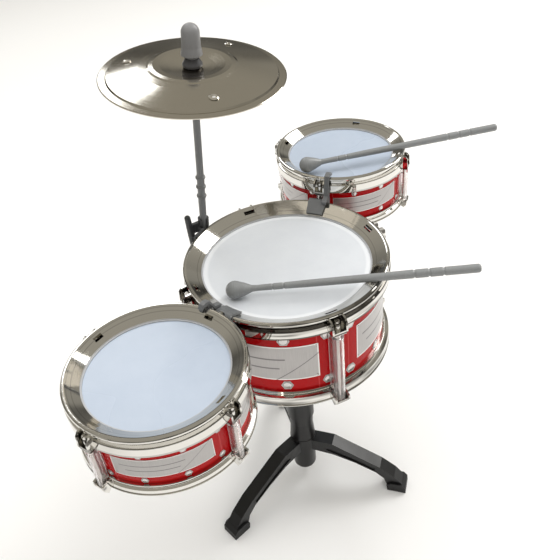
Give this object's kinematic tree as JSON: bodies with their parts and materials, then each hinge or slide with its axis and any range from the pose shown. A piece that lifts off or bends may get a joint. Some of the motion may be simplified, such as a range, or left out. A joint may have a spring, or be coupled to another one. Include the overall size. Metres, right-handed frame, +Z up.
{
  "type": "toy drum kit",
  "caption": "Child's drum kit: a drum on a tripod post carries side drums and a leaning cymbal clipped to its rim, with loose sticks.",
  "frame": {"origin": "on the floor, under the middle of the kit's outline seen from above", "axes": "+Z up, +X towards the right side drum, +Y away from the player, who sits at -Y; the sticks' handles point to -Y"},
  "size_m": [0.434, 0.2859, 0.4501],
  "materials": {
    "black_plastic": "black moulded plastic with a satin sheen",
    "foot_plastic": "black moulded plastic, matt",
    "base_plastic": "dark moulded plastic, matt",
    "screw_steel": "bright zinc-plated steel",
    "shell_plastic": "moulded plastic, red",
    "red_wrap": "glossy deep red film",
    "silver_print": "silver foil print, brushed, with a pale border",
    "white_head": "pale grey white plastic film, slightly mottled",
    "blue_head": "pale blue plastic film",
    "ring_plastic": "pale grey plastic",
    "metallised_plastic": "vacuum metallised plastic, warm mirror grey",
    "clear_plastic": "clear moulded plastic, slightly frosted",
    "clip_plastic": "grey moulded plastic, satin",
    "bracket_plastic": "dark grey moulded plastic",
    "rod_plastic": "grey moulded plastic, satin",
    "dark_plastic": "dark grey soft plastic",
    "cymbal_metal": "polished thin sheet metal, warm grey",
    "eyelet_metal": "bright metal eyelets",
    "knob_plastic": "light grey moulded plastic, satin",
    "stick_plastic": "mid grey moulded plastic, satin"
  },
  "bodies": {
    "stand": {"stand_post": "black_plastic", "hub_cone": "black_plastic", "leg_ring": "black_plastic", "hub_cap": "black_plastic", "leg_front": "black_plastic", "leg_right": "black_plastic", "leg_left": "black_plastic", "foot_front": "foot_plastic", "foot_right": "foot_plastic", "foot_left": "foot_plastic"},
    "drum": {"post_socket": "black_plastic", "base_plate": "base_plastic", "base_screws": "screw_steel", "drum_shell": "shell_plastic", "drum_wrap": "red_wrap", "drum_panels": "silver_print", "drum_head": "white_head", "drum_head_ring": "ring_plastic", "drum_top_hoop": "metallised_plastic", "drum_bottom_hoop": "metallised_plastic", "drum_lugs": "clear_plastic", "drum_tension_screws": "screw_steel"},
    "left_tom": {"left_shell": "shell_plastic", "left_wrap": "red_wrap", "left_panels": "silver_print", "left_head": "blue_head", "left_head_ring": "ring_plastic", "left_top_hoop": "metallised_plastic", "left_bottom_hoop": "metallised_plastic", "left_bottom_head": "blue_head", "left_lugs": "clear_plastic", "left_tension_screws": "screw_steel", "left_clip": "clip_plastic"},
    "right_tom": {"right_shell": "shell_plastic", "right_wrap": "red_wrap", "right_panels": "silver_print", "right_head": "blue_head", "right_head_ring": "ring_plastic", "right_top_hoop": "metallised_plastic", "right_bottom_hoop": "metallised_plastic", "right_bottom_head": "blue_head", "right_lugs": "clear_plastic", "right_tension_screws": "screw_steel", "right_clip": "clip_plastic"},
    "bracket": {"cymbal_bracket": "bracket_plastic"},
    "rod": {"cymbal_rod": "rod_plastic", "cymbal_seat": "dark_plastic"},
    "cymbal": {"cymbal": "cymbal_metal", "cymbal_eyelets": "eyelet_metal"},
    "knob": {"cymbal_knob": "knob_plastic", "knob_flange": "dark_plastic"},
    "centre_stick": {"centre_stick": "stick_plastic"},
    "right_stick": {"right_stick": "stick_plastic"}
  },
  "joints": [
    {"name": "drum_turn", "type": "hinge", "parent": "stand", "child": "drum", "pos_m": [-0.00429, 0.00412, 0.14], "axis": [0, 0, 1], "continuous": true},
    {"name": "left_tom_swing", "type": "hinge", "parent": "drum", "child": "left_tom", "pos_m": [-0.00429, 0.00412, 0.268], "axis": [0, 0, 1], "range_deg": [-16, 38]},
    {"name": "right_tom_swing", "type": "hinge", "parent": "drum", "child": "right_tom", "pos_m": [-0.00429, 0.00412, 0.268], "axis": [0, 0, 1], "range_deg": [-30, 30]},
    {"name": "bracket_swing", "type": "hinge", "parent": "drum", "child": "bracket", "pos_m": [-0.00429, 0.00412, 0.268], "axis": [0, 0, 1], "range_deg": [-16, 34]},
    {"name": "rod_lift", "type": "slide", "parent": "bracket", "child": "rod", "axis": [0, -0.1115, 0.9938], "range_m": [0, 0.03]},
    {"name": "cymbal_spin", "type": "hinge", "parent": "rod", "child": "cymbal", "pos_m": [0.00824, 0.09107, 0.2714], "axis": [0, -0.1115, 0.9938], "continuous": true},
    {"name": "knob_turn", "type": "hinge", "parent": "rod", "child": "knob", "pos_m": [0.00824, 0.09107, 0.2714], "axis": [0, -0.1115, 0.9938], "continuous": true},
    {"name": "centre_stick_lift", "type": "slide", "parent": "drum", "child": "centre_stick", "axis": [0, 0, 1], "range_m": [0, 0.08]},
    {"name": "right_stick_lift", "type": "slide", "parent": "right_tom", "child": "right_stick", "axis": [0, 0, 1], "range_m": [0, 0.08]}
  ]
}
